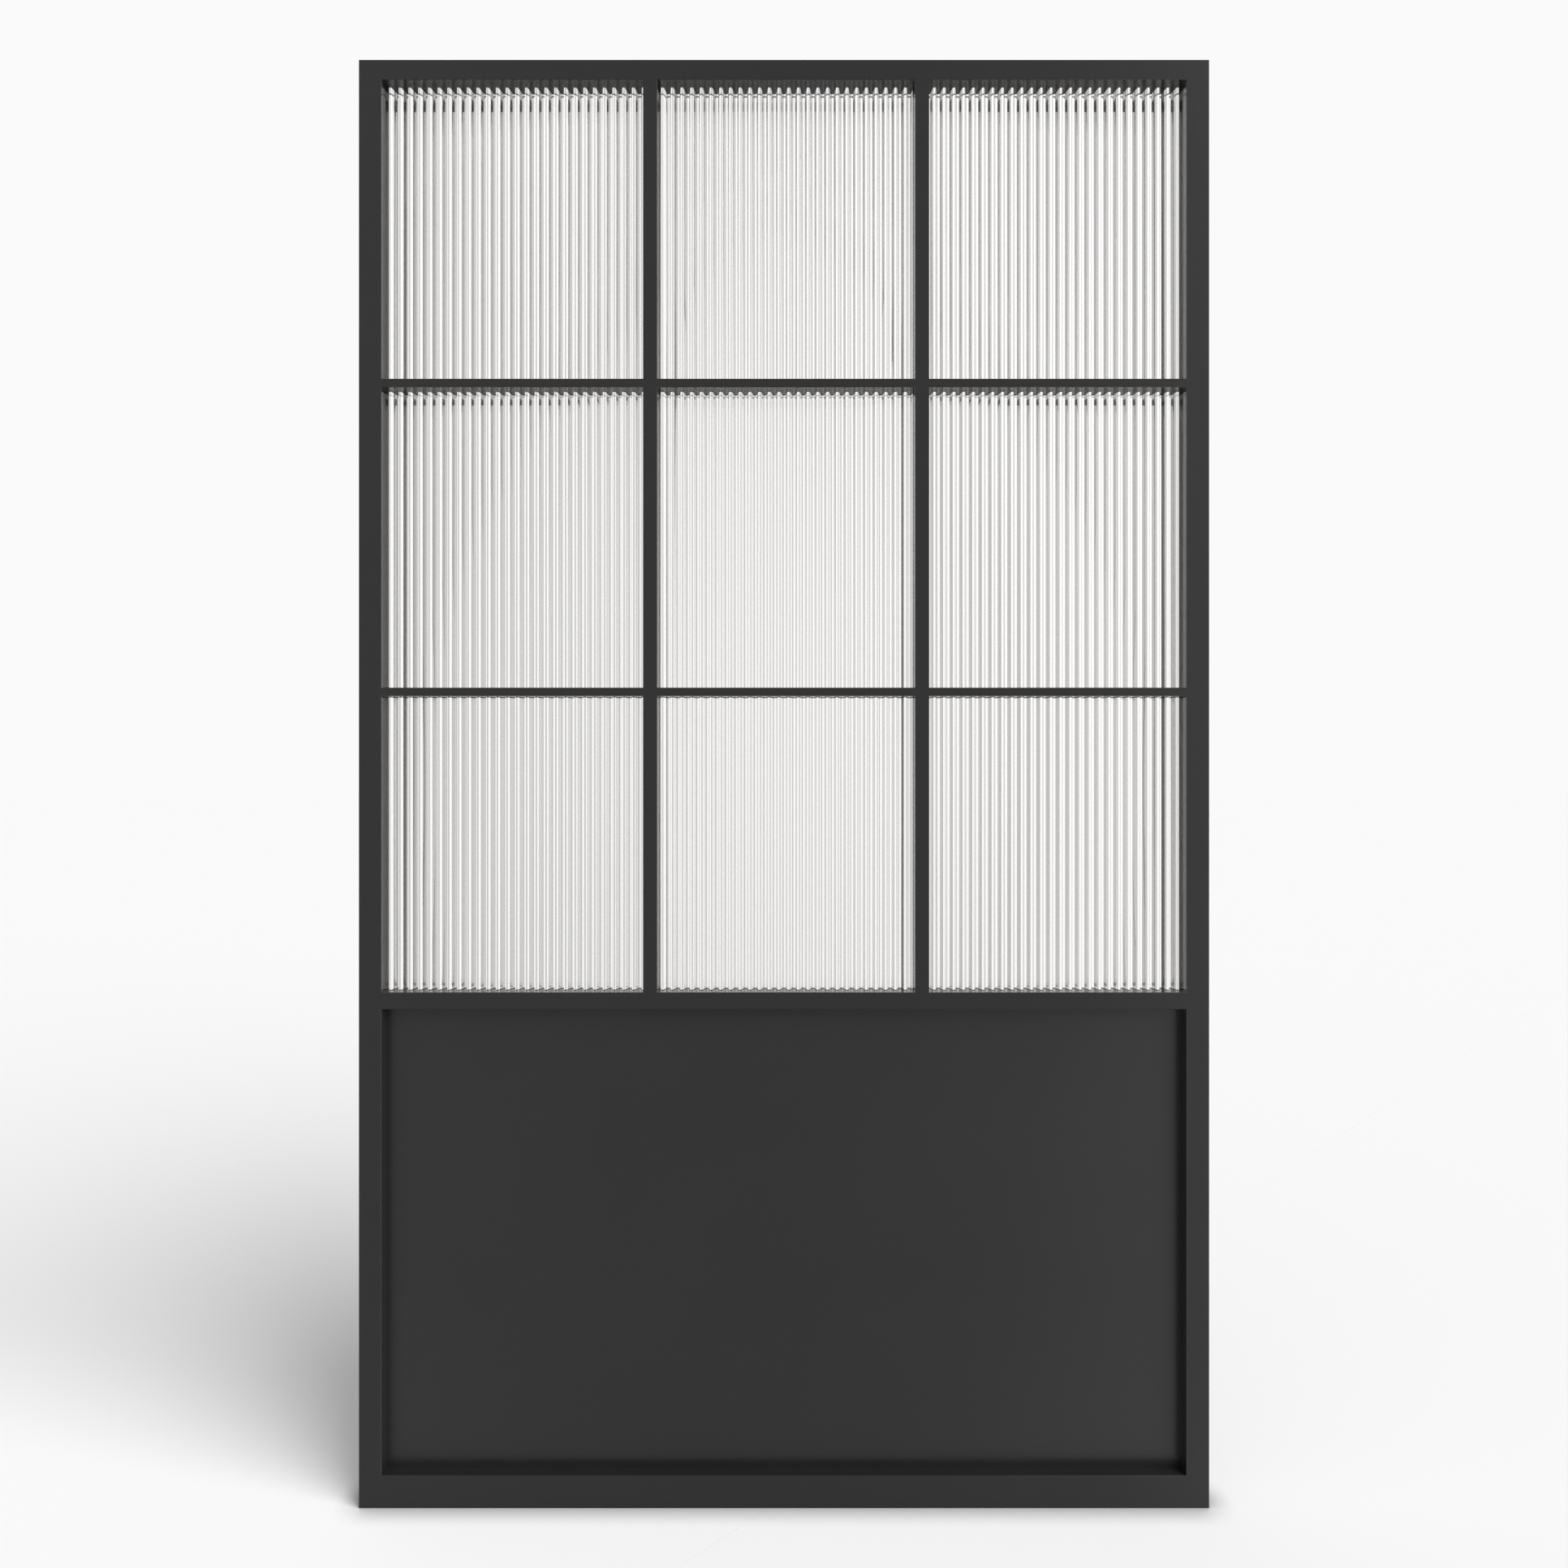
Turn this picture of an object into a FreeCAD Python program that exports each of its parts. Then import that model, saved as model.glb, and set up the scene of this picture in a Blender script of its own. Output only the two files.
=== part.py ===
import FreeCAD, Part
import math
import os

# Fixed interior partition: a black frame with nine panes of deep fluted glass over a kick panel.
# Millimetres. X runs to the right, Y to the back, Z up. The front faces look along -Y.
# The origin is on the floor, under the middle of the frame's width and of its depth.

# Frame members: face widths, the one depth that they share, and the size of their eased edges
frame_depth = 44.0
stile_width = 32.0
top_rail_height = 28.0
mid_rail_height = 24.0
bottom_rail_height = 46.0
mullion_width = 20.0
muntin_height = 12.0
arris = 0.5

# Daylight openings, from left to right and from top to bottom
left_light_width = 369.0
centre_light_width = 364.0
right_light_width = 363.0
top_light_height = 422.0
middle_light_height = 424.0
bottom_light_height = 418.0
panel_opening_height = 658.0

# Fluted glass: ribs on the front face, flat at the back. The reveal is in front of the crests.
glass_reveal = 16.8
rib_pitch = 13.87
rib_depth = 15.6
rib_radius = 2.2
glass_web = 7.4
tape_thickness = 0.5
arc_facets = 4

# Kick panel: one sheet in a groove worked in the frame around it
panel_thickness = 4.0
groove_depth = 8.0
panel_end_clearance = 1.0

# Fixing holes: blind, in the outer faces of the stiles and under the bottom rail
fixing_hole_radius = 3.0
fixing_hole_depth = 20.0
inner_wall_hole_spacing = 560.0
outer_wall_hole_spacing = 1680.0
floor_hole_spacing = 800.0

# Places that follow from those sizes
light_widths = (left_light_width, centre_light_width, right_light_width)
overall_width = 2 * stile_width + 2 * mullion_width + sum(light_widths)
left_edge = -overall_width / 2
right_edge = overall_width / 2
front = -frame_depth / 2
back = frame_depth / 2

sill_top = bottom_rail_height
panel_top = sill_top + panel_opening_height
mid_rail_top = panel_top + mid_rail_height

crest_y = front + glass_reveal
valley_y = crest_y + rib_depth
glass_back_y = valley_y + glass_web


def column_spans():
    """Left and right side of each column of lights."""
    spans = []
    x = left_edge + stile_width
    for width in light_widths:
        spans.append((x, x + width))
        x += width + mullion_width
    return spans


def row_spans():
    """Bottom and top of each row of lights, the top row first."""
    heights = (bottom_light_height, middle_light_height, top_light_height)
    spans = []
    z = mid_rail_top
    for height in heights:
        spans.append((z, z + height))
        z += height + muntin_height
    return spans[::-1]


columns = dict(zip(("left", "centre", "right"), column_spans()))
rows = dict(zip(("top", "middle", "bottom"), row_spans()))
inner_left = columns["left"][0]
inner_right = columns["right"][1]
opening_x = (inner_left, inner_right)
panel_z = (sill_top, panel_top)
lights_top = rows["top"][1]
overall_height = lights_top + top_rail_height

upright = FreeCAD.Vector(0, 0, 1)
rightward = FreeCAD.Vector(1, 0, 0)


def block(x_span, y_span, z_span):
    """A plain box between two limits on each axis."""
    (x0, x1), (y0, y1), (z0, z1) = x_span, y_span, z_span
    return Part.makeBox(x1 - x0, y1 - y0, z1 - z0, FreeCAD.Vector(x0, y0, z0))


def rectangle(x_span, z_span, y, margin):
    """A closed upright rectangle in the plane y, larger than its spans by the margin."""
    x0, x1 = x_span[0] - margin, x_span[1] + margin
    z0, z1 = z_span[0] - margin, z_span[1] + margin
    corners = [(x0, z0), (x1, z0), (x1, z1), (x0, z1), (x0, z0)]
    return Part.makePolygon([FreeCAD.Vector(x, y, z) for x, z in corners])


def flare(x_span, z_span, face_y, inward):
    """The shallow frustum that eases the edges of one opening on one face of the frame."""
    mouth = rectangle(x_span, z_span, face_y, arris)
    throat = rectangle(x_span, z_span, face_y + inward * arris, 0)
    return Part.makeLoft([mouth, throat], True, True)


# The frame is finished flush after it is joined: only its outline and openings have eased edges
openings = [(x_span, z_span) for x_span in columns.values() for z_span in rows.values()]
openings.append((opening_x, panel_z))
flares = []
for x_span, z_span in openings:
    flares.append(flare(x_span, z_span, front, 1))
    flares.append(flare(x_span, z_span, back, -1))

outline = block((left_edge, right_edge), (front, back), (0, overall_height))
face_edges = [e for e in outline.Edges if abs(e.BoundBox.YLength) < arris]
eased_outline = outline.makeChamfer(arris, face_edges)


def member(x_span, z_span):
    """A bar of the full frame depth, eased where the outline or an opening passes along it."""
    return block(x_span, (front, back), z_span).common(eased_outline).cut(flares)


def drill(shape, mouth, direction):
    """A blind fixing hole that goes into the shape from its mouth."""
    return shape.cut(Part.makeCylinder(fixing_hole_radius, fixing_hole_depth, mouth, direction))


# The groove for the kick panel goes round its opening, in the middle of the frame's depth
panel_y = (-panel_thickness / 2, panel_thickness / 2)
panel_groove = block(
    (inner_left - groove_depth, inner_right + groove_depth),
    panel_y,
    (sill_top - groove_depth, panel_top + groove_depth),
)

parts = {}


# Stiles run the full height, with two pairs of wall fixing holes in their outer faces
def stile(x_span, outer_x, into):
    shape = member(x_span, (0, overall_height)).cut(panel_groove)
    for spacing in (inner_wall_hole_spacing, outer_wall_hole_spacing):
        for side in (-1, 1):
            z = overall_height / 2 + side * spacing / 2
            shape = drill(shape, FreeCAD.Vector(outer_x, 0, z), into)
    return shape


parts["left_stile"] = stile((left_edge, inner_left), left_edge, rightward)
parts["right_stile"] = stile((inner_right, right_edge), right_edge, -rightward)

# Rails butt between the stiles
parts["top_rail"] = member(opening_x, (lights_top, overall_height))
parts["mid_rail"] = member(opening_x, (panel_top, mid_rail_top)).cut(panel_groove)
bottom_rail = member(opening_x, (0, sill_top)).cut(panel_groove)
for side in (-1, 1):
    bottom_rail = drill(bottom_rail, FreeCAD.Vector(side * floor_hole_spacing / 2, 0, 0), upright)
parts["bottom_rail"] = bottom_rail

# Mullions stand between the mid rail and the top rail
for name, left, right in (("left_mullion", "left", "centre"), ("right_mullion", "centre", "right")):
    parts[name] = member((columns[left][1], columns[right][0]), (mid_rail_top, lights_top))

# Muntins cross each column between the rows
for column, x_span in columns.items():
    for name, above, below in (("upper", "top", "middle"), ("lower", "middle", "bottom")):
        parts[f"{name}_{column}_muntin"] = member(x_span, (rows[below][1], rows[above][0]))

# A rib's crest and its valley have one radius, and straight flanks touch both. The line between
# the two centres and the angle that a flank makes with that line give the slope of the flank.
half_pitch = rib_pitch / 2
centre_rise = rib_depth - 2 * rib_radius
centre_distance = math.hypot(half_pitch, centre_rise)
flank_angle = math.atan2(centre_rise, half_pitch) + math.asin(2 * rib_radius / centre_distance)


def rounded(x, y, toward):
    """Points round a crest or a valley whose tip is at (x, y), cut into a few flats."""
    points = []
    for n in range(arc_facets + 1):
        angle = flank_angle * (2 * n / arc_facets - 1)
        drop = rib_radius * (1 - math.cos(angle))
        points.append(FreeCAD.Vector(x + rib_radius * math.sin(angle), y + toward * drop, 0))
    return points


def fluted_section(x0, x1):
    """Plan section of whole ribs that cover x0 to x1, counted from a valley on the middle line."""
    first = math.floor(x0 / rib_pitch)
    last = math.ceil(x1 / rib_pitch)
    points = rounded(first * rib_pitch, valley_y, -1)
    for n in range(first, last):
        points += rounded(n * rib_pitch + half_pitch, crest_y, 1)
        points += rounded((n + 1) * rib_pitch, valley_y, -1)
    back_right = FreeCAD.Vector(points[-1].x, glass_back_y, 0)
    back_left = FreeCAD.Vector(points[0].x, glass_back_y, 0)
    return Part.Face(Part.makePolygon(points + [back_right, back_left, points[0]]))


def fluted_pane(x_span, z_span):
    """A pane cut from the fluted sheet, smaller than its light by the tape on every side."""
    x0, x1 = x_span[0] + tape_thickness, x_span[1] - tape_thickness
    z0, z1 = z_span[0] + tape_thickness, z_span[1] - tape_thickness
    cut = Part.makePlane(x1 - x0, glass_back_y - front, FreeCAD.Vector(x0, front, 0))
    section = fluted_section(x0, x1).common(cut)
    section.translate(FreeCAD.Vector(0, 0, z0))
    return section.Faces[0].extrude(FreeCAD.Vector(0, 0, z1 - z0))


def glazing_tape(x_span, z_span):
    """The black tape that beds the pane's solid back in its light, on all four sides."""
    bed = (valley_y, glass_back_y)
    inner_x = (x_span[0] + tape_thickness, x_span[1] - tape_thickness)
    inner_z = (z_span[0] + tape_thickness, z_span[1] - tape_thickness)
    return block(x_span, bed, z_span).cut(block(inner_x, bed, inner_z))


for row, z_span in rows.items():
    for column, x_span in columns.items():
        parts[f"{row}_{column}_pane"] = fluted_pane(x_span, z_span)
        parts[f"{row}_{column}_tape"] = glazing_tape(x_span, z_span)

# The kick panel stands on the floor of its groove and has room at its sides and its top
panel_reach = groove_depth - panel_end_clearance
parts["kick_panel"] = block(
    (inner_left - panel_reach, inner_right + panel_reach),
    panel_y,
    (sill_top - groove_depth, panel_top + panel_reach),
)

os.makedirs("parts", exist_ok=True)
for name, shape in parts.items():
    shape.exportStep(f"parts/{name}.step")
print(len(parts), "parts, overall", overall_width, "x", frame_depth, "x", overall_height)
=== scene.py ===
import math

import bpy
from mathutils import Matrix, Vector


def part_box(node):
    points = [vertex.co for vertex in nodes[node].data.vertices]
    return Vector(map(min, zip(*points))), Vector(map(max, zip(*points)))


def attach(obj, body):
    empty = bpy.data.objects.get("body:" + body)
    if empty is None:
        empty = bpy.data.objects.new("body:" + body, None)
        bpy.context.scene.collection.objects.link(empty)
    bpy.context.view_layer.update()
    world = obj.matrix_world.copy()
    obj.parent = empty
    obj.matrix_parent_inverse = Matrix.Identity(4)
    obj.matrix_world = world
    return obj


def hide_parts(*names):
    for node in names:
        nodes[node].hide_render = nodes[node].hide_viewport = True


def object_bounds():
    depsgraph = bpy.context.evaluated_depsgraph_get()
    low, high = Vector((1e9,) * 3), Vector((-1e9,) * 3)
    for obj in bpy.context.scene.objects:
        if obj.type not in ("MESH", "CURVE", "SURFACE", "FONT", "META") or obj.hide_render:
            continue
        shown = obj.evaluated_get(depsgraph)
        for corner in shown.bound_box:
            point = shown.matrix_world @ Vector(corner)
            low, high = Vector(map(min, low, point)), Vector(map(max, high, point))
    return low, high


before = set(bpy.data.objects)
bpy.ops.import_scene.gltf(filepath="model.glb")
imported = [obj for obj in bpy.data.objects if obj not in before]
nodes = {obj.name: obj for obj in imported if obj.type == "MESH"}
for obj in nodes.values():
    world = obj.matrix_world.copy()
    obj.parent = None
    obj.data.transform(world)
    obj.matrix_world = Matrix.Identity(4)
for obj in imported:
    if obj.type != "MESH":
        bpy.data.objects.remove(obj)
cad_low, cad_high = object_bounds()


# The frame: steel hollow sections 44 mm deep, joined flush at every corner, dressed smooth and
# then powder coated black in one go, so that no joint shows. The coat has a faint orange peel,
# and is a little thinner, and so a little paler, in soft patches.
class Wire:
    """A node's output socket, which takes part in sums written in Python."""

    def __init__(self, finish, socket):
        self.finish = finish
        self.socket = socket

    def also(self, name):
        """Another output of the same node."""
        return Wire(self.finish, self.socket.node.outputs[name])

    def maths(self, operation, first, second):
        return self.finish.add("ShaderNodeMath", {"operation": operation}, {0: first, 1: second})

    def larger(self, other):
        return self.maths("MAXIMUM", self, other)

    def __add__(self, other):
        return self.maths("ADD", self, other)

    def __radd__(self, other):
        return self.maths("ADD", other, self)

    def __sub__(self, other):
        return self.maths("SUBTRACT", self, other)

    def __rsub__(self, other):
        return self.maths("SUBTRACT", other, self)

    def __mul__(self, other):
        return self.maths("MULTIPLY", self, other)

    def __rmul__(self, other):
        return self.maths("MULTIPLY", other, self)


class Finish:
    """A material or a surround that is being put together from nodes."""

    def __init__(self, owner):
        owner.use_nodes = True
        self.owner = owner
        self.tree = owner.node_tree
        self.tree.nodes.clear()

    def add(self, kind, settings, sockets, output=0):
        """Adds a node with its settings, then the values or links of its sockets."""
        node = self.tree.nodes.new(kind)
        for name, setting in settings.items():
            setattr(node, name, setting)
        for key, value in sockets.items():
            if isinstance(value, Wire):
                self.tree.links.new(value.socket, node.inputs[key])
            else:
                node.inputs[key].default_value = value
        if node.outputs:
            return Wire(self, node.outputs[output])


def new_material(name):
    return Finish(bpy.data.materials.new(name))


def noise(finish, grains_a_metre, detail, spread=(1, 1, 1)):
    """Soft noise on a piece's own metres. A small number in the spread draws it out that way."""
    spot = finish.add("ShaderNodeTexCoord", {}, {}, "Object")
    spot = finish.add("ShaderNodeMapping", {}, {"Vector": spot, "Scale": spread})
    return finish.add(
        "ShaderNodeTexNoise", {}, {"Vector": spot, "Scale": grains_a_metre, "Detail": detail}
    )


def between(finish, share, dark, light):
    """The colour that is a share of the way from the dark one to the light one."""
    return finish.add(
        "ShaderNodeMix", {"data_type": "RGBA"}, {0: share, 6: dark, 7: light}, output=2
    )


def coat(piece, finish):
    """Gives a piece one finish all over."""
    piece.data.materials.clear()
    piece.data.materials.append(finish.owner)


patches_a_metre = 5.0
gloss_change = 0.08
peel_a_metre = 420.0
peel_height = 0.0002
peel_strength = 0.06


def powder_coat(name, dark, light, roughness, ior):
    """Black powder coat: soft patches in colour and gloss, and an orange peel a few mm across."""
    finish = new_material(name)
    patches = noise(finish, patches_a_metre, detail=3.0)
    peel = noise(finish, peel_a_metre, detail=2.0)
    colour = between(finish, patches, dark, light)
    normal = finish.add(
        "ShaderNodeBump", {}, {"Strength": peel_strength, "Distance": peel_height, "Height": peel}
    )
    shader = finish.add(
        "ShaderNodeBsdfPrincipled",
        {},
        {
            "Base Color": colour,
            "Roughness": roughness + gloss_change * (patches - 0.5),
            "Normal": normal,
            "IOR": ior,
        },
    )
    finish.add("ShaderNodeOutputMaterial", {}, {"Surface": shader})
    return finish


frame_dark = (0.0136, 0.0135, 0.0137, 1)
frame_light = (0.0157, 0.0155, 0.0157, 1)
frame_coat = powder_coat("frame_powder_coat", frame_dark, frame_light, roughness=0.14, ior=1.5)

columns = ("left", "centre", "right")
members = ["left_stile", "right_stile", "top_rail", "mid_rail", "bottom_rail"]
members += ["left_mullion", "right_mullion"]
members += [f"{level}_{column}_muntin" for level in ("upper", "lower") for column in columns]
for name in members:
    coat(nodes[name], frame_coat)


# The kick panel: one flat metal sheet, 4 mm thick, that stands in a groove round its opening.
# Its black powder coat is a little darker and a little less smooth than the frame's.
panel_dark = (0.0104, 0.0101, 0.0103, 1)
panel_light = (0.0121, 0.0117, 0.0120, 1)
panel_coat = powder_coat("panel_powder_coat", panel_dark, panel_light, roughness=0.30, ior=1.6)
coat(nodes["kick_panel"], panel_coat)


# The glazing tapes: black closed-cell strip 0.5 mm thick that beds the solid back of each pane.
# Only its edge shows, as a hairline round the glass.
rows = ("top", "middle", "bottom")
cells_a_metre = 1500.0
cell_black = 0.008
skin_black = 0.02


def grey(level):
    return (level, level, level, 1)


tape_black = new_material("glazing_tape_black")
cells = noise(tape_black, cells_a_metre, detail=2.0)
tape_colour = between(tape_black, cells, grey(cell_black), grey(skin_black))
tape_shader = tape_black.add(
    "ShaderNodeBsdfPrincipled", {}, {"Base Color": tape_colour, "Roughness": 0.8}
)
tape_black.add("ShaderNodeOutputMaterial", {}, {"Surface": tape_shader})
for row in rows:
    for column in columns:
        coat(nodes[f"{row}_{column}_tape"], tape_black)


# The panes: clear glass with deep ribs rolled into the front face and a flat, fire polished
# back. One sheet of ribs is modelled, and each pane is cut from it where its light falls, so
# that the ribs run on in line behind the bars.
rib_pitch = 0.01387
rib_depth = 0.0156
rib_radius = 0.0022
arc_steps = 14
join_reach = 0.00001
cut_reach = 0.000001
sharpest_smooth_edge = math.radians(35)
gap_to_tape = 0.0001

pane_low, pane_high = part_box("top_left_pane")
crest_y = pane_low.y
valley_y = crest_y + rib_depth
back_y = pane_high.y
centre_height = (cad_low.z + cad_high.z) / 2

# Crests and valleys are arcs of one radius, and the straight flanks touch both
half_pitch = rib_pitch / 2
centre_rise = rib_depth - 2 * rib_radius
centre_distance = math.hypot(half_pitch, centre_rise)
flank_angle = math.atan2(centre_rise, half_pitch) + math.asin(2 * rib_radius / centre_distance)
flank_run = half_pitch - 2 * rib_radius * math.sin(flank_angle)
flank_rise = rib_depth - 2 * rib_radius * (1 - math.cos(flank_angle))

sheet_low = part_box("bottom_left_pane")[0]
sheet_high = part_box("top_right_pane")[1]
sheet_height = sheet_high.z - sheet_low.z
first_rib = math.floor(sheet_low.x / rib_pitch)
last_rib = math.ceil(sheet_high.x / rib_pitch)
sheet_start = first_rib * rib_pitch


def pull(run, rise):
    """Extrudes the selected upright edge along the section."""
    bpy.ops.mesh.extrude_region_move(TRANSFORM_OT_translate={"value": (run, rise, 0)})


def roll(x, y, angle):
    """Spins the selected upright edge about an upright axis."""
    bpy.ops.mesh.spin(
        steps=arc_steps, angle=angle, center=(x, y, centre_height), axis=(0, 0, 1)
    )


# An upright plane is cut down to its left edge, and one rib is drawn out of that edge
bpy.ops.object.select_all(action="DESELECT")
bpy.ops.mesh.primitive_plane_add(
    size=sheet_height,
    location=(sheet_start + sheet_height / 2, valley_y, sheet_low.z + sheet_height / 2),
    rotation=(math.pi / 2, 0, 0),
)
ribs = bpy.context.object
ribs.name = "ribs"
bpy.ops.object.transform_apply(location=True, rotation=True, scale=True)
bpy.ops.object.mode_set(mode="EDIT")
bpy.ops.mesh.select_mode(type="VERT")
bpy.ops.mesh.select_all(action="DESELECT")
bpy.ops.object.mode_set(mode="OBJECT")
for corner in ribs.data.vertices:
    corner.select = corner.co.x > sheet_start + half_pitch
bpy.ops.object.mode_set(mode="EDIT")
bpy.ops.mesh.delete(type="VERT")
bpy.ops.mesh.select_all(action="SELECT")
roll(sheet_start, valley_y - rib_radius, flank_angle)
pull(flank_run, -flank_rise)
roll(sheet_start + half_pitch, crest_y + rib_radius, -2 * flank_angle)
pull(flank_run, flank_rise)
roll(sheet_start + rib_pitch, valley_y - rib_radius, flank_angle)
bpy.ops.object.mode_set(mode="OBJECT")

run_of_ribs = ribs.modifiers.new("run_of_ribs", "ARRAY")
run_of_ribs.count = last_rib - first_rib
run_of_ribs.use_relative_offset = False
run_of_ribs.use_constant_offset = True
run_of_ribs.constant_offset_displace = (rib_pitch, 0, 0)
run_of_ribs.use_merge_vertices = True
run_of_ribs.merge_threshold = join_reach
bpy.ops.object.modifier_apply(modifier="run_of_ribs")


def cut(spot, keep):
    """Cuts the sheet at a spot and keeps the side that a direction points to."""
    bpy.ops.mesh.select_all(action="SELECT")
    bpy.ops.mesh.bisect(plane_co=spot, plane_no=keep, clear_inner=True, threshold=cut_reach)


def pane_from_sheet(name, low, high):
    """A copy of the ribbed sheet, cut to size and closed to its flat back."""
    pane = ribs.copy()
    pane.data = ribs.data.copy()
    pane.name = pane.data.name = name
    bpy.context.collection.objects.link(pane)
    bpy.ops.object.select_all(action="DESELECT")
    pane.select_set(True)
    bpy.context.view_layer.objects.active = pane
    bpy.ops.object.mode_set(mode="EDIT")
    cut(low, (1, 0, 0))
    cut(high, (-1, 0, 0))
    cut(low, (0, 0, 1))
    cut(high, (0, 0, -1))
    bpy.ops.mesh.select_all(action="SELECT")
    bpy.ops.mesh.region_to_loop()
    bpy.ops.mesh.extrude_region_move(TRANSFORM_OT_translate={"value": (0, rib_depth, 0)})
    bpy.ops.transform.resize(value=(1, 0, 1), center_override=(0, back_y, 0))
    bpy.ops.mesh.edge_face_add()
    bpy.ops.mesh.select_all(action="SELECT")
    bpy.ops.mesh.normals_make_consistent(inside=False)
    bpy.ops.object.mode_set(mode="OBJECT")
    bpy.ops.object.shade_smooth_by_angle(angle=sharpest_smooth_edge)
    return pane


glass_tint = (1.0, 0.991, 0.982, 1)
glass_shade = (0.78, 0.785, 0.78, 1)
polish_lines_a_metre = 160.0
drawn_upright = (1, 1, 0.05)
roughest_polish = 0.012

fluted = new_material("fluted_glass")
polish = noise(fluted, polish_lines_a_metre, detail=3.0, spread=drawn_upright)
clear_glass = fluted.add(
    "ShaderNodeBsdfPrincipled",
    {},
    {
        "Base Color": glass_tint,
        "Roughness": roughest_polish * polish,
        "IOR": 1.5,
        "Transmission Weight": 1.0,
    },
)
light_through = fluted.add("ShaderNodeBsdfTransparent", {}, {"Color": glass_shade})
for_shadows = fluted.add("ShaderNodeLightPath", {}, {}, "Is Shadow Ray")
glass_shader = fluted.add(
    "ShaderNodeMixShader", {}, {0: for_shadows, 1: clear_glass, 2: light_through}
)
fluted.add("ShaderNodeOutputMaterial", {}, {"Surface": glass_shader})

edge_clear = Vector((gap_to_tape, 0, gap_to_tape))
for row in rows:
    for column in columns:
        node = f"{row}_{column}_pane"
        low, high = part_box(node)
        pane = pane_from_sheet(f"{row}_{column}_fluted_glass", low + edge_clear, high - edge_clear)
        coat(pane, fluted)
        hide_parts(node)
        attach(pane, "root")
bpy.data.objects.remove(ribs)


# The studio floor: pale and matt, with the object's shadow, and a painted shade that darkens its
# colour where the frame meets it, out to a few centimetres. For the camera alone, a little glow
# lifts it towards the white of the background.
# Glass and gloss look through it to the surround.
floor_size = 400
floor_white = 0.86
floor_glow = 0.12
glow_strength = 1.09
painted_shade_reach = 0.040


def in_glass_or_gloss(light_path):
    """One for what glass and gloss show, and nought for the rest."""
    return light_path.also("Is Glossy Ray").larger(light_path.also("Is Transmission Ray"))


bpy.ops.object.select_all(action="DESELECT")
bpy.ops.mesh.primitive_plane_add(size=floor_size, location=(0, 0, 0))
floor = bpy.context.object
floor.name = "studio_floor"

pale = new_material("studio_floor_white")
# Painted shade: an occlusion test darkens the floor's colour, and its glow, close to the frame's
# foot
painted_contact_shade = pale.add(
    "ShaderNodeAmbientOcclusion",
    {"samples": 16},
    {"Color": grey(floor_white), "Distance": painted_shade_reach},
)
matt = pale.add("ShaderNodeBsdfDiffuse", {}, {"Color": painted_contact_shade})
glow = pale.add("ShaderNodeEmission", {}, {"Color": painted_contact_shade, "Strength": glow_strength})
camera_ray = pale.add("ShaderNodeLightPath", {}, {}, "Is Camera Ray")
lifted = pale.add("ShaderNodeMixShader", {}, {0: camera_ray * floor_glow, 1: matt, 2: glow})
clear = pale.add("ShaderNodeBsdfTransparent", {}, {})
floor_shader = pale.add(
    "ShaderNodeMixShader", {}, {0: in_glass_or_gloss(camera_ray), 1: lifted, 2: clear}
)
pale.add("ShaderNodeOutputMaterial", {}, {"Surface": floor_shader})
coat(floor, pale)


# The surround: bright and dim screens all round the object, which its glass and its gloss show,
# and a plain soft fill, stronger in front and on the left, which lights its matt surfaces. The
# camera itself sees plain white.
background_white = 0.955
fill_white = 0.95
fill_level = 0.38
less_behind = 0.28
less_on_the_right = 0.24
brighter_upward = 0.14

# The level of the screens by their direction in degrees: 0 is straight behind the object, 90 is
# to the right, and 180 is behind the camera
surround_levels = (
    (-180, 0.36),
    (-154, 0.44),
    (-145, 0.78),
    (-128, 0.80),
    (-113, 1.30),
    (-100, 0.95),
    (-80, 0.60),
    (-56, 0.95),
    (-52, 0.10),
    (-48, 0.10),
    (-43, 0.72),
    (-18, 0.55),
    (-12, 0.30),
    (-8, 0.85),
    (4, 1.05),
    (8, 0.60),
    (12, 1.15),
    (33, 0.90),
    (42, 1.25),
    (54, 1.25),
    (60, 0.80),
    (72, 0.55),
    (86, 0.65),
    (98, 1.25),
    (148, 1.20),
    (158, 0.64),
    (165, 0.42),
    (180, 0.36),
)

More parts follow.
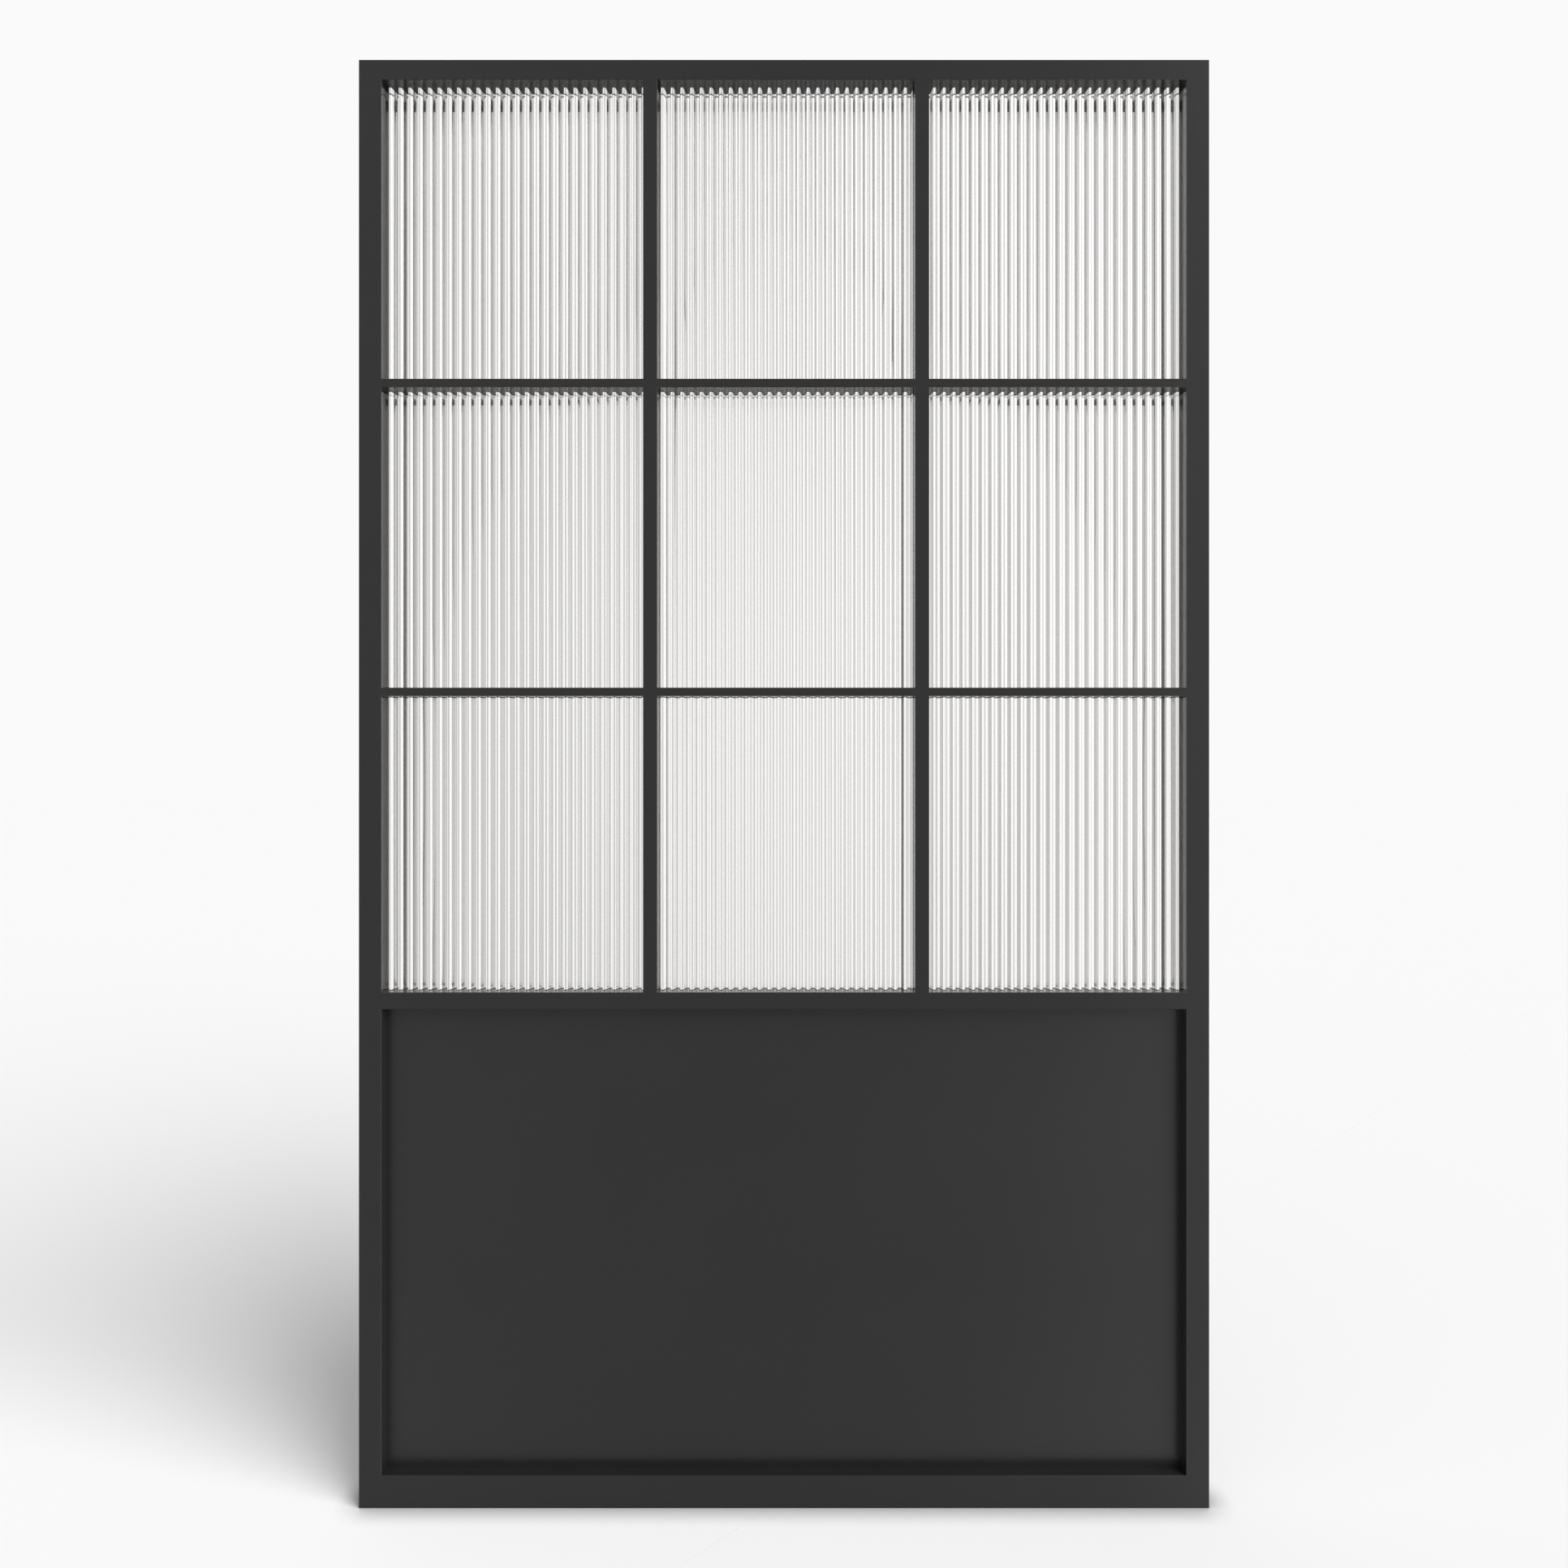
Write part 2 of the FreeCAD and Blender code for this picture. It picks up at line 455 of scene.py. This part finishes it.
surround = bpy.data.worlds.new("studio_surround")
bpy.context.scene.world = surround
studio = Finish(surround)
direction = studio.add("ShaderNodeTexCoord", {}, {}, "Generated")
side = studio.add("ShaderNodeSeparateXYZ", {}, {"Vector": direction}, "X")
behind = side.also("Y")
up = side.also("Z")
around = side.maths("ARCTAN2", side, behind) * (1 / math.tau) + 0.5
levels = studio.add("ShaderNodeValToRGB", {}, {"Fac": around}, "Color")
stops = levels.socket.node.color_ramp.elements
while len(stops) < len(surround_levels):
    stops.new(1)
for stop, (degrees, level) in zip(stops, surround_levels):
    stop.position = degrees / 360 + 0.5
    stop.color = grey(level)
screens = studio.add(
    "ShaderNodeBackground", {}, {"Color": levels, "Strength": 1 + brighter_upward * up}
)
fill_strength = fill_level - less_behind * behind - less_on_the_right * side
fill = studio.add(
    "ShaderNodeBackground", {}, {"Color": grey(fill_white), "Strength": fill_strength}
)
white = studio.add("ShaderNodeBackground", {}, {"Color": grey(background_white)})
camera_ray = studio.add("ShaderNodeLightPath", {}, {}, "Is Camera Ray")
unseen = studio.add(
    "ShaderNodeMixShader", {}, {0: in_glass_or_gloss(camera_ray), 1: fill, 2: screens}
)
sky = studio.add("ShaderNodeMixShader", {}, {0: camera_ray, 1: unseen, 2: white})
studio.add("ShaderNodeOutputWorld", {}, {"Surface": sky})


# The lamp: one broad soft key, high on the right in front. It lights matt surfaces alone, so
# that no disc shows in the glass or in the gloss of the coat.
lamp_strength = 4.05
lamp_width = math.radians(46)
lamp_turn = math.radians(49.5)
lamp_height = math.radians(35.5)

lamp = bpy.data.objects.new("soft_key", bpy.data.lights.new("soft_key", "SUN"))
lamp.data.energy = lamp_strength
lamp.data.angle = lamp_width
lamp.rotation_euler = (math.pi / 2 - lamp_height, 0, lamp_turn)
lamp.visible_glossy = False
lamp.visible_transmission = False
bpy.context.collection.objects.link(lamp)


# The camera: level and square on, at half the height of the frame, and at the distance and the
# lens at which the frame's width and its reveals come out as they do in the photo.
photo_side = 1932
outline_pixels = 1048
camera_distance = 1.546
sensor = 36.0

frame_width = round(cad_high.x - cad_low.x, 3)
metres_a_pixel = frame_width / outline_pixels
camera = bpy.data.objects.new("camera", bpy.data.cameras.new("camera"))
camera.data.sensor_width = sensor
camera.data.lens = sensor * camera_distance / (photo_side * metres_a_pixel)
camera.location = (0, cad_low.y - camera_distance, centre_height)
camera.rotation_euler = (math.pi / 2, 0, 0)
bpy.context.collection.objects.link(camera)
bpy.context.scene.camera = camera
bpy.context.scene.view_settings.view_transform = "Standard"
